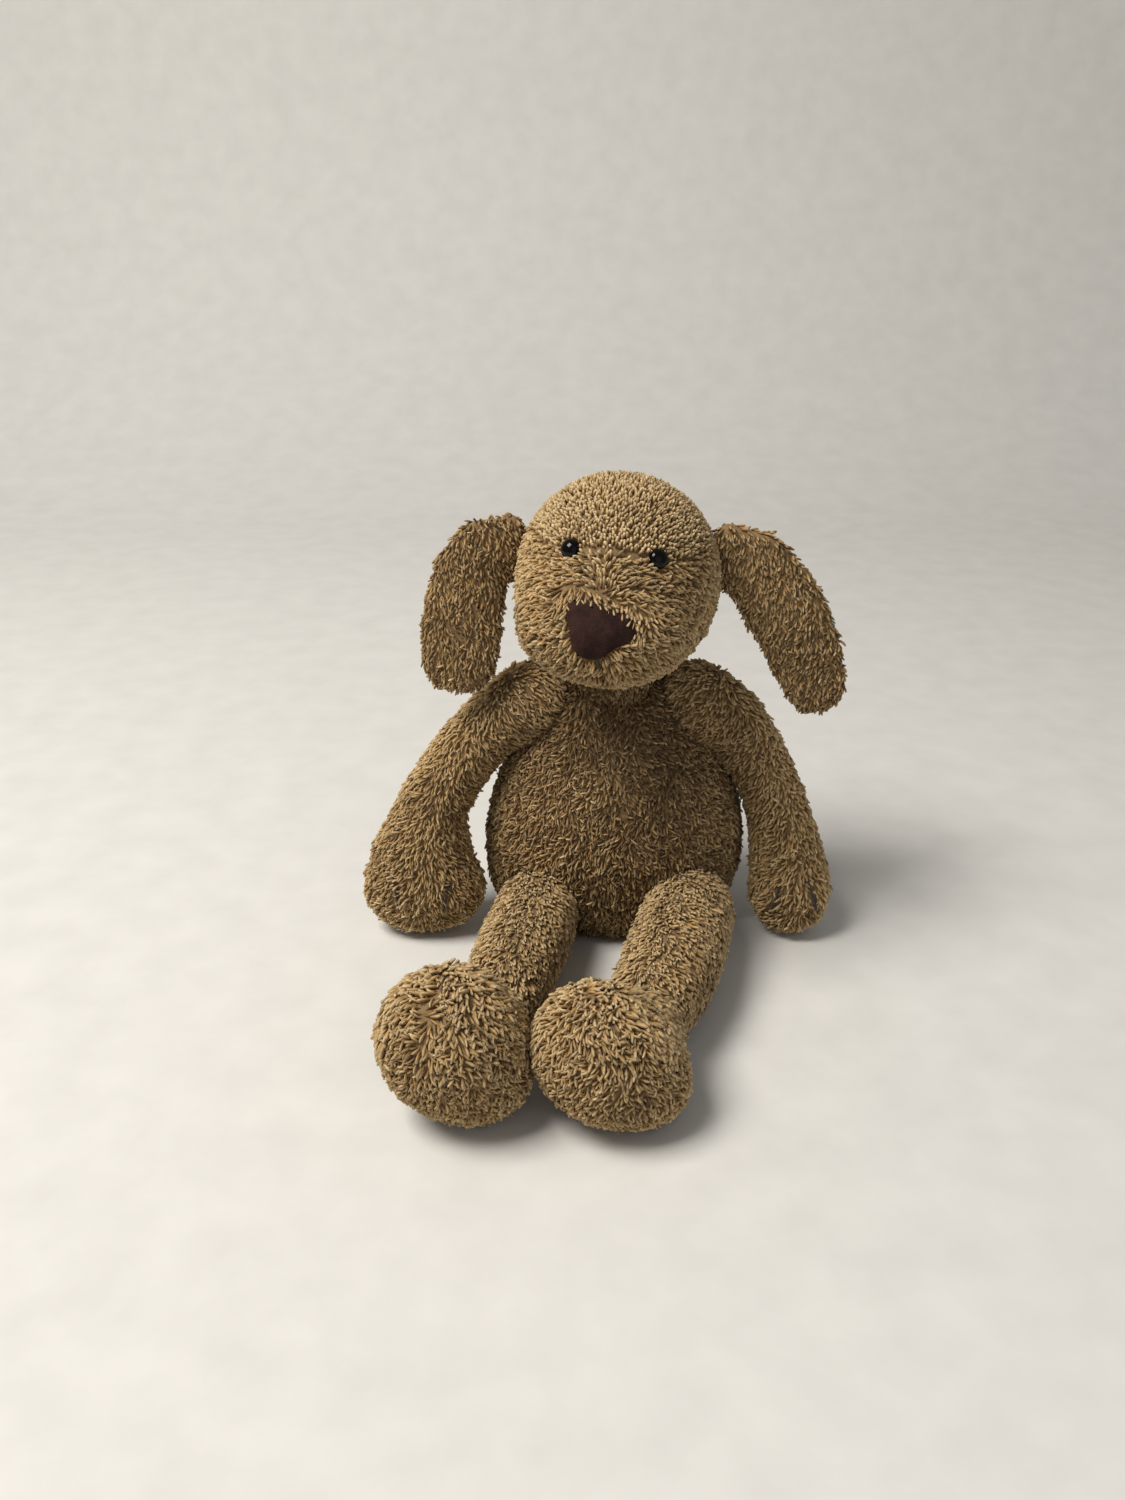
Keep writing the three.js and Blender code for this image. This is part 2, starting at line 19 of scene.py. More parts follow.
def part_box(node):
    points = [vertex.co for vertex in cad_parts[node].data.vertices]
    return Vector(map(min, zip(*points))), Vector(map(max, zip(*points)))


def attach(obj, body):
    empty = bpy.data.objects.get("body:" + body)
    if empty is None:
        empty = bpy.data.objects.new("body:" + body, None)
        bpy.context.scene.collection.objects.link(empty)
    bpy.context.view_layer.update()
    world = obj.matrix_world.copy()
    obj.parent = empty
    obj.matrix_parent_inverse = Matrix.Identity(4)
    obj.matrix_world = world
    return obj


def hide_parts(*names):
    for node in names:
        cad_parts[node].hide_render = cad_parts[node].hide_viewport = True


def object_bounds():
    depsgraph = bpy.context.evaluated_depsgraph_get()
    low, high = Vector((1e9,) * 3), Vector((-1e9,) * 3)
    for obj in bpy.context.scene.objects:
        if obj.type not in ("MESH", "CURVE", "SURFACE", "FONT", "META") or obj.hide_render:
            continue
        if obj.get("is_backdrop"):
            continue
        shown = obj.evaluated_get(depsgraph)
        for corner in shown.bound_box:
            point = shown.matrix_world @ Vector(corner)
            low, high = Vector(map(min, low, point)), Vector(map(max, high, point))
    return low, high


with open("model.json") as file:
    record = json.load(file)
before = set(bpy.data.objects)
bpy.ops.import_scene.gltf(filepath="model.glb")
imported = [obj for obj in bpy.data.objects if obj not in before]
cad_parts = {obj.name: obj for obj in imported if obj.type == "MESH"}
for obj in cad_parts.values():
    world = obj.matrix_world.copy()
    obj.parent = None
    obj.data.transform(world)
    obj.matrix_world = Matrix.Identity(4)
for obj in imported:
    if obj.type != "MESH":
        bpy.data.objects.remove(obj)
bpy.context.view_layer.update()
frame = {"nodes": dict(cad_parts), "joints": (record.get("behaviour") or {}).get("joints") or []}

MM = 0.001
NODES = frame["nodes"]
JOINTS = {joint["name"]: joint for joint in frame["joints"]}

# ------------------------------------------------------------------ sizes

BED = 1.6 * MM              # how far the cloth backing lies inside the CAD's pressed pile
VOXEL = 3.5 * MM            # the remesh of a skin
LOCK_LENGTH = 5.2 * MM
LOCK_WIDTH = 1.3 * MM
LOCK_SPACING = 1.15 * MM
ROOT_DEPTH = 0.5 * MM       # how far a lock starts inside the backing
FLOOR_CLEAR = 0.15 * MM     # the lowest a lock reaches
SKIN_CLEAR = 0.4 * BED      # the lowest a skin is modelled
FOOT_CLEAR = 1.2 * MM
MOST_INFLATED = 2 * MM      # the cap on what the filling's pressure may move

HEAD_SIZE = Vector((94, 104, 97)) * MM
HEAD_RISE = Vector((0, -10, 52)) * MM       # from the neck's joint to the skull's middle
HEAD_TURN = math.radians(-8)
HEAD_ROLL = math.radians(5)
MUZZLE_SIZE = Vector((79, 54, 52)) * MM
MUZZLE_AT = Vector((-2, -36, -11)) * MM      # from the skull's middle, before the head turns

NOSE_WIDTH = 28.5 * MM
NOSE_HEIGHT = 22.5 * MM
NOSE_TILT = math.radians(9)    # sewn on askew, its left corner low
NOSE_SHIFT = Vector((-2.5, 0, -1.5)) * MM   # from the middle of the CAD's patch
NOSE_CORNERS = 0.18            # how far its three corners stand out
NOSE_THICKNESS = 1.2 * MM
NOSE_CROWN = 1.4 * MM          # how much its middle stands out past its edge
EYE_RADIUS = 4.3 * MM
EYE_FLATNESS = 0.72
EYE_PROUD = 0.9 * MM           # how far the dome's middle lies outside the skin
THREAD = 0.7 * MM
THREAD_PROUD = 0.9 * MM

# How far the pile stays clear of the sewn places.
NECK_CLEAR = {"head": 21 * MM, "torso": 17 * MM}
SHOULDER_CLEAR = 14 * MM
HIP_CLEAR = 16 * MM
EYE_CLEAR = 3.5 * MM
MOUTH_CLEAR = 1.2 * MM
TOE_CLEAR = 1.7 * MM

# Each foot's width and length, its lean from upright, and how far its middle lies from the CAD's.
FEET = {
    "right": (56 * MM, 69 * MM, math.radians(-36), Vector((3.5, 0, -1)) * MM),
    "left": (50 * MM, 70 * MM, math.radians(-54), Vector((1.5, 0, -3)) * MM),
}
EAR_HANG = {"left": 1.0, "right": 1.07}     # each ear's length below its seam, as a share of the CAD's

PAW_SWELL = {"left": 0, "right": 0.14}      # a share added to each paw's width
PAW_TOP = 60 * MM                           # the height where a paw starts
LEG_SWELL = {"left": 2 * MM, "right": 0}    # added all round to each leg's backing
TORSO_LEAN = 5 * MM
TORSO_BULGE = 3.2 * MM                      # added to each side of the torso's backing
TORSO_SHIFT = 1.5 * MM                      # how far its filling has slumped to the dog's left
# Half-widths of the torso, as shares of the widest, at shares of its height.
TORSO_PROFILE = [
    (0.0, 0.0),
    (0.74, 0.0),
    (0.9, 0.05),
    (0.98, 0.17),
    (1.0, 0.33),
    (0.95, 0.48),
    (0.83, 0.64),
    (0.68, 0.78),
    (0.52, 0.9),
    (0.3, 0.98),
    (0.0, 1.0),
]

# ------------------------------------------------------------------ materials


def srgb(text, alpha=1.0):
    """A hex colour as linear light."""
    parts = [int(text[i : i + 2], 16) / 255 for i in (1, 3, 5)]
    linear = [c / 12.92 if c <= 0.04045 else ((c + 0.055) / 1.055) ** 2.4 for c in parts]
    return (*linear, alpha)


def new_material(name, **sockets):
    """A material with one Principled shader, and its node tree and shader."""
    material = bpy.data.materials.new(name)
    material.use_nodes = True
    shader = material.node_tree.nodes["Principled BSDF"]
    for socket, value in sockets.items():
        shader.inputs[socket.replace("_", " ")].default_value = value
    return material, material.node_tree, shader


def add(tree, kind, settings=None, **links):
    """Adds a node. Its settings go by attribute or socket name, and links go into its sockets."""
    node = tree.nodes.new(kind)
    for key, value in (settings or {}).items():
        if key in node.inputs:
            node.inputs[key].default_value = value
        else:
            setattr(node, key, value)
    for key, source in links.items():
        tree.links.new(source, node.inputs[key.replace("_", " ")])
    return node


def ramp(tree, factor, stops):
    """A colour ramp with the given (place, hex colour) stops."""
    node = add(tree, "ShaderNodeValToRGB", Fac=factor)
    elements = node.color_ramp.elements
    for i, (place, colour) in enumerate(stops):
        element = elements[i] if i < 2 else elements.new(place)
        element.position = place
        element.color = srgb(colour)
    return node.outputs["Color"]


def multiply(tree, first, second):
    """One colour times another."""
    node = add(tree, "ShaderNodeMix", {"data_type": "RGBA", "blend_type": "MULTIPLY"})
    node.inputs["Factor"].default_value = 1.0
    tree.links.new(first, node.inputs["A"])
    tree.links.new(second, node.inputs["B"])
    return node.outputs["Result"]


def grain(tree, size, detail):
    """Noise in the object's own coordinates, with grains of a given size."""
    place = add(tree, "ShaderNodeTexCoord").outputs["Object"]
    settings = {"Scale": 1 / size, "Detail": detail}
    return add(tree, "ShaderNodeTexNoise", settings, Vector=place).outputs["Fac"]


def emboss(tree, shader, height, strength, depth):
    """Raises the surface by a pattern, up to a depth."""
    bump = add(tree, "ShaderNodeBump", {"Strength": strength, "Distance": depth}, Height=height)
    tree.links.new(bump.outputs["Normal"], shader.inputs["Normal"])


def pile_material():
    """Polyester plush pile, curled: painted shade darkens each lock towards its root, and the tips are
    pale where they catch the light.
    """
    material, tree, shader = new_material(
        "polyester_plush_pile",
        Roughness=0.82,
        Sheen_Weight=0.25,
        Sheen_Roughness=0.45,
        Specular_IOR_Level=0.25,
    )
    shader.inputs["Sheen Tint"].default_value = srgb("#e6cfa8")
    place = add(tree, "ShaderNodeUVMap", {"uv_map": "OFBake"})
    split = add(tree, "ShaderNodeSeparateXYZ", Vector=place.outputs["UV"])
    # Painted shade: each lock's colour darkens from its pale tip down to its root.
    along = ramp(
        tree,
        split.outputs["Y"],
        [(0.0, "#5b3f22"), (0.25, "#94703f"), (0.6, "#c4a573"), (0.9, "#e0cca4")],
    )
    # The tone's dark end paints shade on the torso and neck; elsewhere the tone differs at random.
    tone_and_painted_shade = ramp(tree, split.outputs["X"], [(0.0, "#7d6f62"), (0.5, "#e0dbd3"), (1.0, "#ffffff")])
    tree.links.new(multiply(tree, along, tone_and_painted_shade), shader.inputs["Base Color"])
    return material


def backing_material():
    """Knitted plush backing with the feet of the pile: dark, matt and slightly mottled."""
    material, tree, shader = new_material("knitted_plush_backing", Roughness=0.95, Sheen_Weight=0.15)
    mottle = grain(tree, 3 * MM, 3.0)
    colour = ramp(tree, mottle, [(0.3, "#6b5534"), (0.7, "#8b7350")])
    tree.links.new(colour, shader.inputs["Base Color"])
    emboss(tree, shader, mottle, 0.6, 0.4 * MM)
    return material


def suede_material():
    """Brown suede, brushed: a fine nap with small scuffed patches."""
    material, tree, shader = new_material(
        "brushed_suede",
        Roughness=0.9,
        Sheen_Weight=0.12,
        Specular_IOR_Level=0.2,
    )
    shader.inputs["Sheen Tint"].default_value = srgb("#8a6a5c")
    nap = grain(tree, 0.7 * MM, 2.0)
    fine = ramp(tree, nap, [(0.3, "#2a1812"), (0.7, "#3c2620")])
    scuffs = ramp(tree, grain(tree, 6 * MM, 2.0), [(0.35, "#b8aeb0"), (0.65, "#ffffff")])
    tree.links.new(multiply(tree, fine, scuffs), shader.inputs["Base Color"])
    emboss(tree, shader, nap, 0.5, 0.25 * MM)
    return material


def eye_material():
    """Polished black acrylic: a clear glossy coat over near black, with faint handling marks."""
    material, tree, shader = new_material("polished_black_acrylic", Specular_IOR_Level=0.22, IOR=1.49)
    marks = grain(tree, 1.5 * MM, 4.0)
    shine = add(tree, "ShaderNodeMapRange", {"To Min": 0.06, "To Max": 0.16}, Value=marks)
    tree.links.new(shine.outputs["Result"], shader.inputs["Roughness"])
    colour = ramp(tree, marks, [(0.3, "#020202"), (0.7, "#060505")])
    tree.links.new(colour, shader.inputs["Base Color"])
    return material


def thread_material():
    """Cotton embroidery thread, twisted, dark brown."""
    material, tree, shader = new_material("twisted_cotton_thread", Roughness=0.8, Sheen_Weight=0.2)
    place = add(tree, "ShaderNodeTexCoord")
    twist = add(tree, "ShaderNodeTexWave", {"Scale": 1 / (3 * MM)}, Vector=place.outputs["Object"])
    colour = ramp(tree, twist.outputs["Fac"], [(0.2, "#1d1410"), (0.8, "#33241c")])
    tree.links.new(colour, shader.inputs["Base Color"])
    emboss(tree, shader, twist.outputs["Fac"], 0.5, 0.2 * MM)
    return material


def paper_material():
    """A pale matt paper floor."""
    material, tree, shader = new_material("matt_paper", Roughness=0.9)
    colour = ramp(tree, grain(tree, 25 * MM, 4.0), [(0.3, "#d3d2ce"), (0.7, "#dad9d5")])
    tree.links.new(colour, shader.inputs["Base Color"])
    return material


PILE = pile_material()
BACKING = backing_material()
SUEDE = suede_material()
EYE = eye_material()
THREAD_COTTON = thread_material()

# ------------------------------------------------------------------ mesh helpers


def as_object(name, bm, material=None):
    """A new object at the origin that holds the bmesh."""
    mesh = bpy.data.meshes.new(name)
    bm.to_mesh(mesh)
    bm.free()
    piece = bpy.data.objects.new(name, mesh)
    bpy.context.scene.collection.objects.link(piece)
    if material:
        mesh.materials.append(material)
    return piece


def evaluated(piece):
    """A bmesh of the piece with its modifiers applied."""
    bpy.context.view_layer.update()
    depsgraph = bpy.context.evaluated_depsgraph_get()
    bm = bmesh.new()
    bm.from_object(piece, depsgraph)
    return bm


def remeshed(bm, voxel=VOXEL):
    """One closed, even surface round everything in the bmesh."""
    piece = as_object("remeshing", bm)
    modifier = piece.modifiers.new("voxels", "REMESH")
    modifier.mode = "VOXEL"
    modifier.voxel_size = voxel
    result = evaluated(piece)
    bpy.data.objects.remove(piece)
    return result


def relax(bm, rounds):
    """Evens a surface out."""
    every_axis = {"use_axis_x": True, "use_axis_y": True, "use_axis_z": True}
    for _ in range(rounds):
        bmesh.ops.smooth_vert(bm, verts=bm.verts, factor=0.5, **every_axis)
    bm.normal_update()


def draw_in(bm, depth):
    """Moves the whole surface inwards by a depth."""
    bm.normal_update()
    for vert in bm.verts:
        vert.co -= vert.normal * depth


def smoothed(name, bm):
    """The bmesh as an object after one Catmull-Clark subdivision, which is applied."""
    cage = as_object("cage", bm)
    modifier = cage.modifiers.new("smooth", "SUBSURF")
    modifier.levels = modifier.render_levels = 1
    result = evaluated(cage)
    bpy.data.objects.remove(cage)
    piece = as_object(name, result, BACKING)
    piece.data.shade_smooth()
    return piece


def inflated(bm):
    """A soft form blown up by its filling: a cloth simulation with pressure, its movement capped."""
    scene = bpy.context.scene
    piece = as_object("inflating", bm)
    before = np.array([v.co for v in piece.data.vertices])
    cloth = piece.modifiers.new("filling", "CLOTH")
    cloth.settings.use_pressure = True
    cloth.settings.uniform_pressure_force = 4
    cloth.settings.effector_weights.gravity = 0
    cloth.settings.quality = 5
    for step in range(1, 21):
        scene.frame_set(step)
    result = evaluated(piece)
    scene.frame_set(1)
    bpy.data.objects.remove(piece)
    result.verts.ensure_lookup_table()
    for vert, start in zip(result.verts, before):
        move = vert.co - Vector(start)
        if move.length > MOST_INFLATED:
            move *= MOST_INFLATED / move.length
        vert.co = Vector(start) + move
    return result


def copies(*nodes):
    """A bmesh with the CAD nodes' own surfaces, their loose triangles merged."""
    bm = bmesh.new()
    for node in nodes:
        bm.from_mesh(NODES[node].data)
    bmesh.ops.remove_doubles(bm, verts=bm.verts, dist=0.01 * MM)
    return bm


def ball(bm, centre, radii, turn=None, rings=24):
    """Adds an ellipsoid, turned about its own middle."""
    made = bmesh.ops.create_uvsphere(bm, u_segments=2 * rings, v_segments=rings, radius=1)["verts"]
    bmesh.ops.scale(bm, verts=made, vec=radii)
    if turn:
        bmesh.ops.rotate(bm, verts=made, cent=(0, 0, 0), matrix=turn)
    bmesh.ops.translate(bm, verts=made, vec=centre)
    return made


def joint_at(name):
    """A joint's place."""
    return Vector(JOINTS[name]["pos_m"])


def corners(*nodes):
    """The lowest and highest corners of several CAD nodes together."""
    boxes = [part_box(node) for node in nodes]
    low = Vector([min(box[0][i] for box in boxes) for i in range(3)])
    high = Vector([max(box[1][i] for box in boxes) for i in range(3)])
    return low, high


# ------------------------------------------------------------------ skins

HEAD_PANELS = [
    "crown_panel",
    "face_panel_left",
    "face_panel_right",
    "head_back_panel_left",
    "head_back_panel_right",
]
TORSO_PANELS = ["belly_panel", "back_panel_left", "back_panel_right", "base_panel"]

head_turn = Matrix.Rotation(HEAD_TURN, 3, "Z") @ Matrix.Rotation(HEAD_ROLL, 3, "Y")
EYES_AT = {side: sum(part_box(f"eye_{side}"), Vector()) / 2 for side in ("left", "right")}
NOSE_AT = sum(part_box("nose_patch"), Vector()) / 2 + NOSE_SHIFT
NECK_AT = joint_at("neck_turn")
HEAD_AT = NECK_AT + HEAD_RISE


def torso_form():
    """The pear-shaped torso, standing on its flat base: half a profile spun round."""
    low, high = corners(*TORSO_PANELS)
    half_width = (high.x - low.x) / 2 - BED + TORSO_BULGE
    half_depth = (high.y - low.y) / 2 - BED
    height = NECK_AT.z + 4 * MM - low.z
    bm = bmesh.new()
    profile = [bm.verts.new((share * half_width, 0, rise * height)) for share, rise in TORSO_PROFILE]
    edges = [bm.edges.new(pair) for pair in zip(profile, profile[1:])]
    bmesh.ops.subdivide_edges(bm, edges=edges, cuts=3, use_grid_fill=False)
    bmesh.ops.spin(
        bm,
        geom=bm.verts[:] + bm.edges[:],
        cent=(0, 0, 0),
        axis=(0, 0, 1),
        angle=2 * math.pi,
        steps=48,
        use_merge=True,
    )
    bmesh.ops.remove_doubles(bm, verts=bm.verts, dist=0.02 * MM)
    bmesh.ops.recalc_face_normals(bm, faces=bm.faces)
    for vert in bm.verts:
        lean = TORSO_LEAN * math.sin(math.pi * vert.co.z / height)
        vert.co.y = vert.co.y * half_depth / half_width - lean
        vert.co.x += TORSO_SHIFT * math.sin(math.pi * vert.co.z / height)
        vert.co.z = max(vert.co.z, SKIN_CLEAR)
    bm = remeshed(bm)
    relax(bm, 4)
    return bm


def head_form():
    """Skull and muzzle in one, turned and rolled as the head sits."""
    bm = bmesh.new()
    skull = HEAD_SIZE / 2 - Vector((BED, BED, BED))
    ball(bm, HEAD_AT, skull, head_turn)
    muzzle = MUZZLE_SIZE / 2 - Vector((BED, BED, BED))
    ball(bm, HEAD_AT + head_turn @ MUZZLE_AT, muzzle, head_turn)
    cheeks = (skull + muzzle) / 2
    ball(bm, HEAD_AT + head_turn @ MUZZLE_AT * 0.45, cheeks, head_turn)
    bm = remeshed(bm)
    relax(bm, 14)
    return bm


def limb_form(*nodes, voxel=VOXEL, rounds=4, depth=0.3 * MM):
    """A limb's skin from its CAD nodes, made round. Rounding it already draws it in."""
    bm = remeshed(copies(*nodes), voxel)
    relax(bm, rounds)
    draw_in(bm, depth)
    for vert in bm.verts:
        vert.co.z = max(vert.co.z, SKIN_CLEAR)
    return bm


def foot_form(side):
    """A foot: a full egg on the floor that leans out from its narrow heel, and its ankle's ball."""
    low, high = corners(f"foot_{side}_upper_panel", f"foot_{side}_sole_panel")
    width, length, lean, shift = FEET[side]
    middle = (low + high) / 2 + shift
    turn = Matrix.Rotation(lean, 3, "Y")
    axis = turn @ Vector((0, 0, 1))
    bm = bmesh.new()
    radii = Vector((width / 2, (high.y - low.y) * 0.54, length / 2))
    for vert in ball(bm, middle, radii, turn):
        along = (vert.co - middle).dot(axis)
        aside = vert.co - middle - axis * along
        vert.co = middle + axis * along + aside * (1.03 + 0.13 * along / radii.z)
    ankle = joint_at(f"foot_bend_{side}") + Vector((0, -6, 2)) * MM
    ball(bm, ankle, Vector((17, 17, 17)) * MM, rings=12)
    for vert in bm.verts:
        vert.co.z = max(vert.co.z, FOOT_CLEAR)
    bm = remeshed(bm)
    relax(bm, 8)
    return bm


def neck_form():
    """The ball between torso and head."""
    bm = bmesh.new()
    low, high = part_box("neck_stuffing")
    radius = (high.x - low.x) / 2 - BED
    ball(bm, NECK_AT, Vector((radius, radius, radius)), rings=16)
    # The sphere's faces come in an order that differs from run to run, and the remesh's don't.
    return remeshed(bm)


SKINS = {}


def add_skin(body, bm, nodes):
    """The padded skin of one body, standing for the CAD's soft solids."""
    piece = smoothed(f"{body}_skin", bm)
    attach(piece, body)
    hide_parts(*nodes)
    SKINS[body] = piece


def limb_nodes(limb, *parts):
    """The CAD nodes of a limb, by the last part of their names."""
    return [f"{limb}_{part}" for part in parts]


add_skin("torso", inflated(torso_form()), TORSO_PANELS + ["body_stuffing", "pellet_bag"])
add_skin("neck", neck_form(), ["neck_stuffing"])
add_skin("head", head_form(), HEAD_PANELS + ["head_stuffing"])
for side in ("left", "right"):
    arm = limb_nodes(f"arm_{side}", "back_panel", "front_panel", "stuffing")
    hanging = limb_form(*arm)
    low, high = corners(f"toe_stitch_{side}_1", f"toe_stitch_{side}_2")
    for vert in hanging.verts:
        share = min(max((PAW_TOP - vert.co.z) / PAW_TOP, 0), 0.5) * 2
        vert.co.x += (vert.co.x - (low.x + high.x) / 2) * PAW_SWELL[side] * share
    add_skin(f"arm_{side}", inflated(hanging), arm)
    leg = limb_nodes(f"leg_{side}", "top_panel", "under_panel", "stuffing")
    fuller = 0.3 * MM - LEG_SWELL[side]
    add_skin(f"leg_{side}", inflated(limb_form(*leg, depth=fuller)), leg)
    foot = limb_nodes(f"foot_{side}", "upper_panel", "sole_panel", "stuffing")
    add_skin(f"foot_{side}", inflated(foot_form(side)), foot)
    ear = limb_nodes(f"ear_{side}", "back_panel", "front_panel")
    hanging = limb_form(*ear, voxel=2.2 * MM, rounds=3, depth=-0.5 * MM)
    seam = joint_at(f"ear_swing_{side}").z
    for vert in hanging.verts:
        if vert.co.z < seam:
            vert.co.z = seam + (vert.co.z - seam) * EAR_HANG[side]
    add_skin(f"ear_{side}", hanging, ear)
tail = limb_nodes("tail", "left_panel", "right_panel", "stuffing")
add_skin("tail", limb_form(*tail, voxel=2.5 * MM), tail)

# ------------------------------------------------------------------ eyes, nose and stitches


def tree_of(piece):
    """A search tree of a piece's surface, for casting rays on it."""
    bm = evaluated(piece)
    tree = BVHTree.FromBMesh(bm)
    bm.free()
    return tree


HEAD_TREE = tree_of(SKINS["head"])
FORWARD = head_turn @ Vector((0, -1, 0))
UP = head_turn @ Vector((0, 0, 1))
SIDE = head_turn @ Vector((1, 0, 0))


def on_face(place):
    """The point of the head's front, and its normal, straight behind a place in front of it."""
    hit, normal, _, _ = HEAD_TREE.ray_cast(place + FORWARD * 200 * MM, -FORWARD)
    return hit, normal


def add_eye(side):
    """A safety eye: a glossy dome whose rim is pressed into the pile."""
    hit, normal = on_face(EYES_AT[side])
    bm = bmesh.new()
    dome = bmesh.ops.create_uvsphere(bm, u_segments=32, v_segments=18, radius=EYE_RADIUS)["verts"]
    bmesh.ops.scale(bm, verts=dome, vec=(1, 1, EYE_FLATNESS))
    turn = normal.to_track_quat("Z", "Y").to_matrix()
    bmesh.ops.rotate(bm, verts=dome, cent=(0, 0, 0), matrix=turn)
    bmesh.ops.translate(bm, verts=dome, vec=hit + normal * EYE_PROUD)
    piece = as_object(f"eye_{side}_dome", bm, EYE)
    piece.data.shade_smooth()
    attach(piece, "head")
    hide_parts(f"eye_{side}", f"eye_washer_{side}")
    return hit


NOSE_ACROSS = SIDE * math.cos(NOSE_TILT) - UP * math.sin(NOSE_TILT)
NOSE_UPRIGHT = UP * math.cos(NOSE_TILT) + SIDE * math.sin(NOSE_TILT)


def nose_edge(angle):
    """The nose patch's outline: a rounded triangle, point down, as shares of its half-sizes."""
    return 1 + NOSE_CORNERS * np.cos(3 * (angle + math.radians(97)))


def in_nose(places):
    """How far places are above the nose's middle, and how far out: 1 is on the patch's outline."""
    from_nose = places - np.array(NOSE_AT)
    across = from_nose @ np.array(NOSE_ACROSS) / (NOSE_WIDTH / 2)
    upright = from_nose @ np.array(NOSE_UPRIGHT) / (NOSE_HEIGHT / 2)
    return upright, np.hypot(across, upright) / nose_edge(np.arctan2(upright, across))


def add_nose():
    """A crowned suede patch on the muzzle's front, its edge turned in."""
    bm = bmesh.new()
    bmesh.ops.create_grid(bm, x_segments=28, y_segments=24, size=1)
    for vert in bm.verts:
        x, y = vert.co.x, vert.co.y
        disc_x = x * math.sqrt(1 - y * y / 2)
        disc_y = y * math.sqrt(1 - x * x / 2)
        reach = math.hypot(disc_x, disc_y)
        edge = nose_edge(math.atan2(disc_y, disc_x))
        across = NOSE_ACROSS * disc_x * edge * NOSE_WIDTH / 2
        upright = NOSE_UPRIGHT * disc_y * edge * NOSE_HEIGHT / 2
        hit, _ = on_face(NOSE_AT + across + upright)
        crown = NOSE_CROWN * math.sqrt(max(0.0, 1 - reach**2))
        vert.co = hit + FORWARD * (NOSE_THICKNESS + crown)
    bmesh.ops.recalc_face_normals(bm, faces=bm.faces)
    if sum((face.normal for face in bm.faces), Vector()).dot(FORWARD) < 0:
        bmesh.ops.reverse_faces(bm, faces=bm.faces)
    bmesh.ops.solidify(bm, geom=bm.faces[:], thickness=NOSE_THICKNESS)
    piece = as_object("nose_suede", bm, SUEDE)
    piece.data.shade_smooth()
    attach(piece, "head")
    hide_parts("nose_patch")


def cut_across(bm, heights):
    """Cuts everything in the bmesh through at each height."""
    for height in heights:
        everything = bm.verts[:] + bm.edges[:] + bm.faces[:]
        bmesh.ops.bisect_plane(bm, geom=everything, plane_co=(0, 0, height), plane_no=(0, 0, 1))


def thread_along(name, points, body, node):
    """A dark stitch: a thin round cord through the points."""
    bm = bmesh.new()
    bmesh.ops.create_cone(bm, cap_ends=True, segments=10, radius1=THREAD, radius2=THREAD, depth=1)
    bmesh.ops.translate(bm, verts=bm.verts, vec=(0, 0, 0.5))
    cut_across(bm, [i / 16 for i in range(1, 16)])
    count = len(points) - 1
    for vert in bm.verts:
        at = min(vert.co.z, 0.999) * count
        i = int(at)
        before, after = points[max(i - 1, 0)], points[min(i + 2, count)]
        t = at - i
        a, b = points[i], points[i + 1]
        # A Catmull-Rom curve through the points.
        centre = 0.5 * (
            2 * a
            + (b - before) * t
            + (2 * before - 5 * a + 4 * b - after) * t**2
            + (3 * a - before - 3 * b + after) * t**3
        )
        turn = (b - a).to_track_quat("Z", "Y").to_matrix()
        taper = 0.45 if vert.co.z < 0.01 or vert.co.z > 0.99 else 1
        vert.co = centre + turn @ (Vector((vert.co.x, vert.co.y, 0)) * taper)
    piece = as_object(name, bm, THREAD_COTTON)
    piece.data.shade_smooth()
    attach(piece, body)
    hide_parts(node)


eye_points = [add_eye(side) for side in ("left", "right")]
add_nose()
mouth_top, mouth_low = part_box("mouth_stitch")[1].z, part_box("mouth_stitch")[0].z
mouth_x = NOSE_AT.x + 0.5 * MM
mouth = []
for i in range(4):
    z = mouth_top + 1 * MM - (mouth_top - mouth_low) * i / 3
    hit, normal = on_face(Vector((mouth_x + 0.8 * MM * i / 3, NOSE_AT.y, z)))
    mouth.append(hit + normal * 0.8 * MM)
thread_along("mouth_thread", mouth, "head", "mouth_stitch")

toe_lines = {"left": [], "right": []}
for side, lines in toe_lines.items():
    paw = tree_of(SKINS[f"arm_{side}"])
    for number in (1, 2):
        node = f"toe_stitch_{side}_{number}"
        low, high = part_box(node)
        line = []
        for i in range(4):
            share = i / 3
            x = low.x + (high.x - low.x) * (share if (number == 2) == (side == "left") else 1 - share)
            z = high.z - (6 + 17 * share) * MM
            hit, normal, _, _ = paw.ray_cast(Vector((x, -1, z)), Vector((0, 1, 0)))
            line.append(hit + normal * THREAD_PROUD)
        lines.append(line)
        thread_along(f"toe_thread_{side}_{number}", line, f"arm_{side}", node)

# ------------------------------------------------------------------ pile


def lock_template():
    """One lock of fibre, upright from 0 to 1 on Z: a three-sided tuft that swells to a blunt tip."""
    bm = bmesh.new()
    bmesh.ops.create_cone(bm, cap_ends=False, segments=3, radius1=1, radius2=0, depth=1)
    bmesh.ops.translate(bm, verts=bm.verts, vec=(0, 0, 0.5))
    cut_across(bm, (0.35, 0.68, 0.9))
    bmesh.ops.remove_doubles(bm, verts=bm.verts, dist=1e-4)
    bmesh.ops.triangulate(bm, faces=bm.faces)
    for vert in bm.verts:
        reach = math.hypot(vert.co.x, vert.co.y)
        if reach > 1e-6:
            girth = np.interp(vert.co.z, [0, 0.35, 0.68, 0.9], [0.6, 0.9, 1.0, 0.72])
            vert.co.x *= girth / reach
            vert.co.y *= girth / reach
    return as_object("lock", bm, PILE)


LOCK = lock_template()
LOCK_POINTS = np.array([v.co for v in LOCK.data.vertices])
LOCK_HEIGHTS = sorted({round(float(z), 4) for z in LOCK_POINTS[:, 2]})


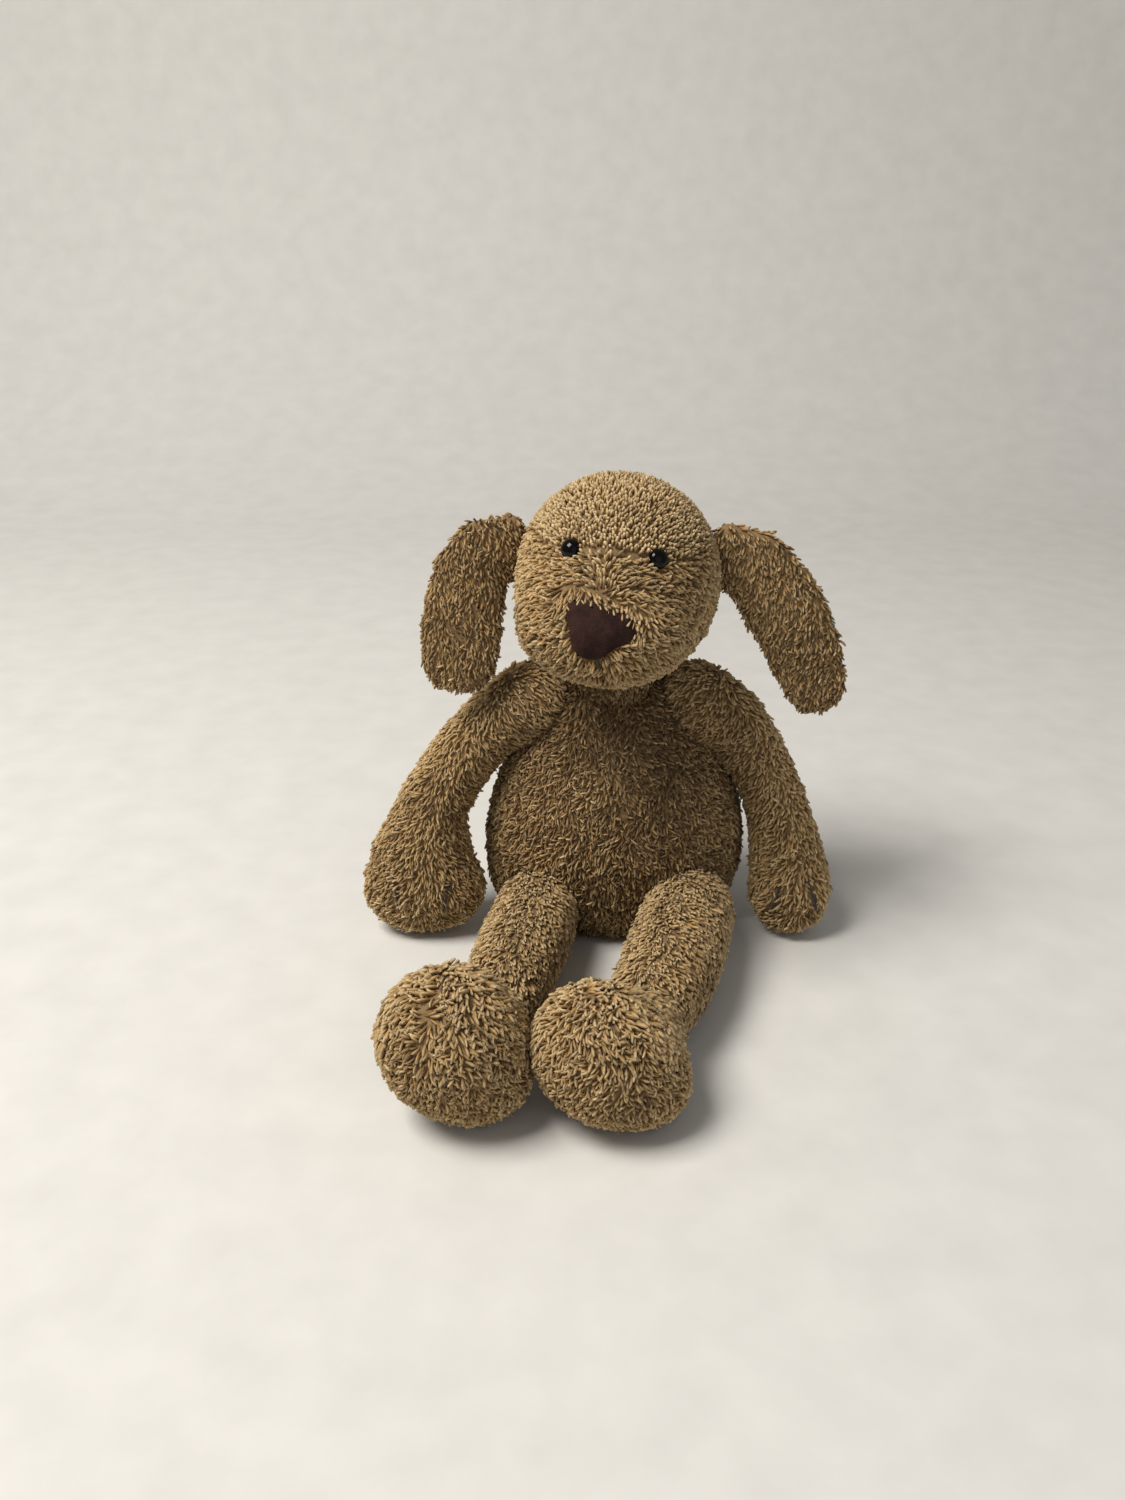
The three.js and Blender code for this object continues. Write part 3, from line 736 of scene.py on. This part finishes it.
def unit(vectors):
    """The vectors, each made 1 long."""
    length = np.linalg.norm(vectors, axis=-1, keepdims=True)
    return vectors / np.maximum(length, 1e-9)


def across_axes(x, y, z):
    """Three rows of numbers, or plain numbers, as one table of directions."""
    return np.stack(np.broadcast_arrays(*np.atleast_1d(x, y, z)), axis=1).astype(float)


def scattered(piece, spacing, seed):
    """Even but unordered places on a piece's surface, and the way the surface faces there."""
    mesh = piece.data
    mesh.calc_loop_triangles()
    triangles = np.array([t.vertices for t in mesh.loop_triangles])
    points = np.array([v.co for v in mesh.vertices])
    normals = np.array([v.normal for v in mesh.vertices])
    a, b, c = (points[triangles[:, i]] for i in range(3))
    areas = np.linalg.norm(np.cross(b - a, c - a), axis=1) / 2
    random = np.random.default_rng(seed)
    count = int(areas.sum() / spacing**2 * 4)
    chosen = random.choice(len(areas), size=count, p=areas / areas.sum())
    u, v = random.random(count), random.random(count)
    flip = u + v > 1
    u[flip], v[flip] = 1 - u[flip], 1 - v[flip]
    weights = np.stack([1 - u - v, u, v], axis=1)[:, :, None]
    places = (points[triangles[chosen]] * weights).sum(1)
    facing = unit((normals[triangles[chosen]] * weights).sum(1))
    finder = KDTree(count)
    for i, place in enumerate(places):
        finder.insert(place, i)
    finder.balance()
    taken = np.zeros(count, bool)
    kept = []
    for i in range(count):
        if not taken[i]:
            kept.append(i)
            for _, j, _ in finder.find_range(places[i], spacing):
                taken[j] = True
    return places[kept], facing[kept]


def wander(places, size, seed):
    """Smooth random values between about -1 and 1, which change over a length of `size`."""
    shift = Vector((seed * 3.7, seed * 1.3, -seed * 2.1))
    return np.array([noise.noise(Vector(p) / size + shift) for p in places]) * 1.8


def wandering(places, size, seed):
    """Smooth random directions."""
    return np.stack([wander(places, size, seed + i) for i in range(3)], axis=1)


def near_line(places, line, reach):
    """True for the places within reach of a line of points."""
    close = np.zeros(len(places), bool)
    for a, b in zip(line, line[1:]):
        a, b = np.array(a), np.array(b)
        t = np.clip(((places - a) @ (b - a)) / ((b - a) @ (b - a)), 0, 1)
        close |= np.linalg.norm(places - (a + t[:, None] * (b - a)), axis=1) < reach
    return close


def near(places, point, reach):
    """True for the places within reach of a point."""
    return np.linalg.norm(places - np.array(point), axis=1) < reach


def add_pile(
    name, body, places, facing, flow, seed, length=1.0, lean=(30, 92), curl=24, tone_and_painted_shade=0.5, width=1.0
):
    """Stands one lock on each place, as one piece that rides on a body.

    `flow` is the way the pile lies, and `lean` its angles from upright at root and tip, in degrees.
    `length`, `width` and the tone are shares of the usual; the tone also holds painted shade. All may be
    one value or one a lock.
    """
    random = np.random.default_rng(seed)
    count = len(places)
    lay = unit(flow - facing * (flow * facing).sum(1, keepdims=True))
    aside = np.cross(facing, lay)
    spin = np.radians(random.normal(0, 20, count))
    swirl = np.radians(random.normal(0, 1, count) * curl)
    lean_root = np.radians(np.broadcast_to(lean[0], count) + random.normal(0, 7, count))
    lean_tip = np.radians(np.broadcast_to(lean[1], count) + random.normal(0, 12, count))
    size = LOCK_LENGTH * length * random.uniform(0.75, 1.2, count)
    girth = LOCK_WIDTH / 2 * width * random.uniform(0.8, 1.2, count)
    shade = np.clip(tone_and_painted_shade + random.normal(0, 0.18, count), 0.01, 0.97)

    array = LOCK.modifiers.new("one for each place", "ARRAY")
    array.count = count
    locks = evaluated(LOCK)
    LOCK.modifiers.remove(array)
    mesh = bpy.data.meshes.new(name)
    locks.to_mesh(mesh)
    locks.free()

    centre = places - facing * ROOT_DEPTH
    rings = {}
    last = 0.0
    for height in LOCK_HEIGHTS:
        angle = lean_root + (lean_tip - lean_root) * height
        turn = spin + swirl * height
        flat = lay * np.cos(turn)[:, None] + aside * np.sin(turn)[:, None]
        way = facing * np.cos(angle)[:, None] + flat * np.sin(angle)[:, None]
        centre = centre + way * (size * (height - last))[:, None]
        side = unit(np.cross(way, facing))
        rings[height] = (centre, side, np.cross(side, way))
        last = height
    vertices = np.empty((count, len(LOCK_POINTS), 3))
    for i, (x, y, z) in enumerate(LOCK_POINTS):
        middle, side, above = rings[round(float(z), 4)]
        vertices[:, i] = middle + (side * x + above * y) * girth[:, None]
    vertices[:, :, 2] = np.maximum(vertices[:, :, 2], FLOOR_CLEAR)
    mesh.vertices.foreach_set("co", vertices.ravel())

    corner_points = np.empty(len(mesh.loops), np.int32)
    mesh.loops.foreach_get("vertex_index", corner_points)
    lock, point = np.divmod(corner_points, len(LOCK_POINTS))
    round_about = np.arctan2(LOCK_POINTS[:, 1], LOCK_POINTS[:, 0]) / (2 * math.pi) + 0.5
    # Across the map goes the lock's tone with its painted shade, and up it the way from root to tip.
    across = shade[lock] + 0.012 * round_about[point]
    upwards = 0.02 + 0.96 * LOCK_POINTS[point, 2]
    layer = mesh.uv_layers.new(name="OFBake")
    layer.uv.foreach_set("vector", np.stack([across, upwards], axis=1).astype(np.float32).ravel())
    mesh.materials.clear()
    mesh.materials.append(PILE)
    mesh.update()
    mesh.shade_smooth()
    piece = bpy.data.objects.new(name, mesh)
    bpy.context.scene.collection.objects.link(piece)
    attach(piece, body)


def picked(value, chosen):
    """The chosen rows of a value, or of each part of a pair. A plain number stays as it is."""
    if isinstance(value, tuple):
        return tuple(picked(part, chosen) for part in value)
    return value[chosen] if isinstance(value, np.ndarray) else value


def furnish(body, panels, lay, seed, spacing=1.0, clear=None):
    """Covers a body's skin with pile, a piece for each panel.

    `panels` gives each piece's name and a test for the places it takes, in order. `lay` gives the
    flow and the style at the places, and `clear` is true for places that stay bare.
    """
    places, facing = scattered(SKINS[body], LOCK_SPACING * spacing, seed)
    if clear:
        free = ~clear(places, facing)
        places, facing = places[free], facing[free]
    flow, style = lay(places, facing)
    left = np.ones(len(places), bool)
    for number, (name, test) in enumerate(panels.items()):
        chosen = left & test(places, facing)
        left &= ~chosen
        own = {key: picked(value, chosen) for key, value in style.items()}
        add_pile(name, body, places[chosen], facing[chosen], flow[chosen], seed * 10 + number, **own)


def always(places, facing):
    """All the places that are left."""
    return np.ones(len(places), bool)


def at_back(places, facing):
    return facing[:, 1] > 0


def on_top(places, facing):
    return facing[:, 2] > 0


def in_head(places):
    """Places in the head's own directions, in millimetres from the skull's middle."""
    return (places - np.array(HEAD_AT)) @ np.array(head_turn) / MM


NOSE_IN_HEAD = in_head(np.array([NOSE_AT]))[0]
EYE_LEVEL = in_head(np.array(eye_points))[:, 2].mean()


def brow_height(x):
    """The seam between crown and face: highest in the middle, across the front of the head."""
    return EYE_LEVEL - 1 + 2.5 * np.cos(np.clip(x / 19, -1, 1) * math.pi / 2)


def head_bare(places, facing):
    """Bare cloth on the head: under the sewn features, on the brow seam and round the neck."""
    x, y, z = in_head(places).T
    front = y < 0
    under_nose = front & (in_nose(places)[1] < 0.9)
    seam = front & (np.abs(z - brow_height(x)) < 0.9) & (np.abs(x) < 16)
    under_eye = near(places, eye_points[0], EYE_CLEAR) | near(places, eye_points[1], EYE_CLEAR)
    under_mouth = near_line(places, mouth, MOUTH_CLEAR)
    return under_nose | seam | under_eye | under_mouth | near(places, NECK_AT, NECK_CLEAR["head"])


def head_lay(places, facing):
    """Short upright tufts on the crown. The face's part at the nose's bridge, and lie out and down."""
    x, y, z = in_head(places).T
    below = (y < 0) & (z < brow_height(x))
    crown = across_axes(x * 0.3, 30, np.where(y > 5, -45, 12))
    from_x = x - NOSE_IN_HEAD[0] - 3
    from_z = z - NOSE_IN_HEAD[2] - 10
    face = across_axes(from_x * 1.4, 6, from_z * 0.5 - 9)
    cheek = across_axes(x * 0.45, 14, -22)
    rim = np.clip((np.abs(x) - 22) / 14, 0, 1)[:, None]
    flow = face * (1 - rim) + cheek * rim
    upright, reach = in_nose(places)
    over_nose = below & (upright > 0) & (reach < 1.3)
    flow = np.where(over_nose[:, None], across_axes(x * 0.1, -6, -20), flow)
    flow = np.where(below[:, None], flow, crown)
    flow = (flow + wandering(places, 13 * MM, 1) * 9) @ np.array(head_turn).T
    # Where the pile parts, it stands up more, so that the cloth doesn't show.
    parting = np.exp(-np.hypot(from_x, from_z) / 7) + np.exp(-np.abs(z - brow_height(x)) / 2)
    parting = np.clip(parting * below, 0, 1)
    lean_root = np.where(below, 36 - 24 * parting, 12.0)
    lean_tip = np.where(below, 92 - 25 * parting, 50.0)
    length = np.where(below, 1.05 - 0.35 * parting, 0.66)
    tone_and_painted_shade = 0.5 + 0.1 * wander(places, 22 * MM, 4)
    return flow, {"length": length, "lean": (lean_root, lean_tip), "tone_and_painted_shade": tone_and_painted_shade, "width": 1.2}


def torso_bare(places, facing):
    """Bare cloth on the torso: under the base, in the limbs' hollows, and on the base seam."""
    bare = (facing[:, 2] < -0.75) | near(places, NECK_AT, NECK_CLEAR["torso"])
    for side in ("left", "right"):
        bare |= near(places, joint_at(f"arm_swing_{side}"), SHOULDER_CLEAR)
        bare |= near(places, joint_at(f"leg_lift_{side}"), HIP_CLEAR)
    return bare | (np.abs(places[:, 2] - 10 * MM) < 1.1 * MM)


def torso_lay(places, facing):
    """Outwards from the middle of the belly and down; on the back, down."""
    x, y, z = (places / MM).T
    down = -32 + np.where(y < -8, (z - 75) * 0.25, 0)
    flow = across_axes(x * 0.9, y * 0.1, down) + wandering(places, 14 * MM, 5) * 16
    # The torso's low tone is painted shade; on the chest it darkens further, partly painted shadow of the
    # head and partly the fur's own darker tone.
    chest_shadow_and_tone = np.clip((z - 80) / 35, 0, 1) * (y < 0)
    return flow, {"tone_and_painted_shade": 0.24 - 0.18 * chest_shadow_and_tone + 0.1 * wander(places, 24 * MM, 8), "curl": 38}


def neck_lay(places, facing):
    """Outwards and down, and dark with painted shade under the chin."""
    x, y, z = (places - np.array(NECK_AT)).T
    return across_axes(x, y, -30 * MM), {"length": 0.8, "tone_and_painted_shade": 0.12}


def arm_lay(side):
    """How the pile lies on one arm."""
    shoulder = np.array(joint_at(f"arm_swing_{side}"))
    away = 1 if side == "left" else -1

    def lay(places, facing):
        """The pile parts at a ridge down the arm: outwards on one side of it and inwards on the other."""
        x, y, z = ((places - shoulder) / MM).T
        ridge = away * (18 + 40 * (1 - np.exp(-np.clip(-z, 0, 100) / 45)))
        flow = across_axes(np.clip((x - ridge) / 12, -1.2, 1.2), -0.2, -1.0)
        flow += wandering(places, 16 * MM, 30) * 0.3
        return flow, {"lean": (36, 90), "tone_and_painted_shade": 0.5 + 0.1 * wander(places, 20 * MM, 34)}

    return lay


def leg_lay(places, facing):
    """Along the leg towards the foot, and falling off to the sides."""
    flow = across_axes(facing[:, 0] * 0.6, -0.8, -0.5) + wandering(places, 16 * MM, 40) * 0.3
    return flow, {"tone_and_painted_shade": 0.42 + 0.1 * wander(places, 20 * MM, 44)}


def foot_lay(side):
    """How the pile lies on one foot."""
    low, high = corners(f"foot_{side}_upper_panel", f"foot_{side}_sole_panel")
    middle = np.array((low + high) / 2)

    def lay(places, facing):
        """Down and outwards over the foot, longer and wider towards its top, and curly all over."""
        x, y, z = unit(places - middle).T
        flow = across_axes(x * 0.8, -0.25, z * 0.5 - 0.7) + wandering(places, 11 * MM, 50) * 0.35
        higher = np.clip(z, 0, 1)
        tone_and_painted_shade = 0.5 + 0.1 * wander(places, 20 * MM, 54)
        return flow, {
            "length": 0.9 + 0.35 * higher,
            "width": 1 + 0.3 * higher,
            "curl": 36,
            "lean": (28, 94),
            "tone_and_painted_shade": tone_and_painted_shade,
        }

    return lay


def ear_lay(places, facing):
    """Down the ear, turning over its edges."""
    flow = across_axes(facing[:, 0] * 0.3, 0, -1) + wandering(places, 14 * MM, 60) * 0.35
    return flow, {"length": 0.85, "lean": (34, 92), "tone_and_painted_shade": 0.34 + 0.1 * wander(places, 20 * MM, 64)}


def tail_lay(places, facing):
    """Along the tail to its tip."""
    return across_axes(0, 1, 0.6) + wandering(places, 12 * MM, 70) * 0.3, {}


def face_side(right):
    """A test for the places on one side of the face."""

    def test(places, facing):
        x, y, z = in_head(places).T
        return (y < 0) & (z < brow_height(x)) & ((x < 0) == right)

    return test


def toes_bare(side):
    """A test for the bare cloth under one paw's stitches."""

    def test(places, facing):
        first, second = toe_lines[side]
        return near_line(places, first, TOE_CLEAR) | near_line(places, second, TOE_CLEAR)

    return test


furnish(
    "head",
    {
        "face_right_pile": face_side(True),
        "face_left_pile": face_side(False),
        "head_back_pile": lambda places, facing: in_head(places)[:, 1] >= 14,
        "crown_pile": always,
    },
    head_lay,
    11,
    spacing=0.95,
    clear=head_bare,
)
furnish(
    "torso",
    {
        "belly_pile": lambda places, facing: places[:, 1] < -8 * MM,
        "back_left_pile": lambda places, facing: places[:, 0] > 0,
        "back_right_pile": always,
    },
    torso_lay,
    12,
    clear=torso_bare,
)
furnish("neck", {"neck_pile": always}, neck_lay, 13, spacing=1.1)
furnish("tail", {"tail_pile": always}, tail_lay, 14)
for seed, side in ((20, "left"), (30, "right")):
    arm, leg, foot, ear = (f"{limb}_{side}" for limb in ("arm", "leg", "foot", "ear"))
    arm_panels = {f"{arm}_back_pile": at_back, f"{arm}_front_pile": always}
    furnish(arm, arm_panels, arm_lay(side), seed, clear=toes_bare(side))
    furnish(leg, {f"{leg}_top_pile": on_top, f"{leg}_under_pile": always}, leg_lay, seed + 1)
    foot_panels = {f"{foot}_upper_pile": at_back, f"{foot}_sole_pile": always}
    furnish(foot, foot_panels, foot_lay(side), seed + 2)
    furnish(ear, {f"{ear}_back_pile": at_back, f"{ear}_front_pile": always}, ear_lay, seed + 3)
bpy.data.objects.remove(LOCK)

# ------------------------------------------------------------------ stage, camera and lights


def sweep():
    """A paper floor that curves up behind into a backdrop."""
    bm = bmesh.new()
    bmesh.ops.create_grid(bm, x_segments=2, y_segments=80, size=1.6)
    bend = 0.75  # where the paper starts to rise
    radius = 0.5
    for vert in bm.verts:
        past = vert.co.y - bend
        if past > 0:
            angle = min(past / radius, math.pi / 2)
            rest = max(0.0, past - radius * math.pi / 2)
            vert.co.y = bend + radius * math.sin(angle)
            vert.co.z = radius * (1 - math.cos(angle)) + rest
    piece = as_object("paper_sweep", bm, paper_material())
    piece.data.shade_smooth()
    piece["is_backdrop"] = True


def add_light(name, location, aim, size, watts, colour):
    """A square lamp that points at a place."""
    light = bpy.data.lights.new(name, "AREA")
    light.size = size
    light.energy = watts
    light.color = srgb(colour)[:3]
    lamp = bpy.data.objects.new(name, light)
    bpy.context.scene.collection.objects.link(lamp)
    lamp.location = location
    lamp.rotation_euler = (Vector(aim) - Vector(location)).to_track_quat("-Z", "Y").to_euler()


sweep()
add_light("window", (-0.9, -0.42, 1.6), (0, -0.05, 0.08), 0.8, 38, "#fffaf3")
add_light("bounce", (0.4, -1.2, 0.6), (0, -0.05, 0.1), 1.2, 1.5, "#f4f2ff")

world = bpy.data.worlds.new("room")
bpy.context.scene.world = world
world.use_nodes = True
world.node_tree.nodes["Background"].inputs["Color"].default_value = srgb("#dcdad6")
world.node_tree.nodes["Background"].inputs["Strength"].default_value = 0.34
bpy.context.scene.view_settings.view_transform = "Standard"

camera_data = bpy.data.cameras.new("camera")
camera_data.lens = 30.1
camera_data.sensor_width = 36
camera = bpy.data.objects.new("camera", camera_data)
bpy.context.scene.collection.objects.link(camera)
camera.location = (-0.025, -0.568, 0.352)
camera.rotation_euler = (math.radians(90 - 25), 0, 0)
bpy.context.scene.camera = camera

low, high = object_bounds()
